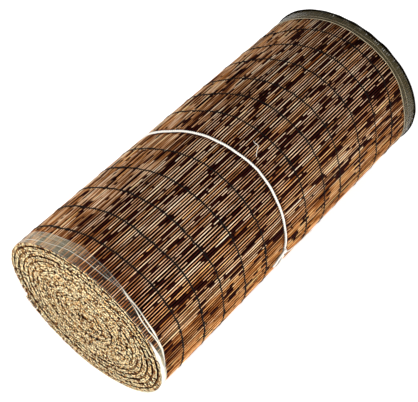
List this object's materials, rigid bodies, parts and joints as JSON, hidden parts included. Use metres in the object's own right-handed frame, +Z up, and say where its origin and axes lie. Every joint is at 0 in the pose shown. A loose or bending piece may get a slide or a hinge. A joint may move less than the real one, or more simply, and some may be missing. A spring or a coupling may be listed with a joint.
{
  "type": "reed screening roll",
  "caption": "Long mat of reeds sewn with rows of dark thread, wound into a slightly oval roll, bound with clear film at both ends and tied round the middle.",
  "frame": {"origin": "centre of the bounding box's bottom face, on the floor under the middle of the roll", "axes": "+X along the stems from the near end to the far end, +Y across the roll towards the side with the mat's free edge, +Z up"},
  "size_m": [1, 0.4514, 0.39],
  "materials": {
    "reed": "natural reed, brown skin with straw-coloured cut ends",
    "clear_film": "clear wrinkled film",
    "white_string": "twisted white string",
    "dark_thread": "waxed dark thread"
  },
  "bodies": {
    "root": {"reed_mat": "reed", "near_end_film": "clear_film", "far_end_film": "clear_film", "tie_string": "white_string", "stitch_row_01": "dark_thread", "stitch_row_02": "dark_thread", "stitch_row_03": "dark_thread", "stitch_row_04": "dark_thread", "stitch_row_05": "dark_thread", "stitch_row_06": "dark_thread", "stitch_row_07": "dark_thread", "stitch_row_08": "dark_thread", "stitch_row_09": "dark_thread", "stitch_row_10": "dark_thread", "stitch_row_11": "dark_thread", "stitch_row_12": "dark_thread"}
  },
  "joints": []
}
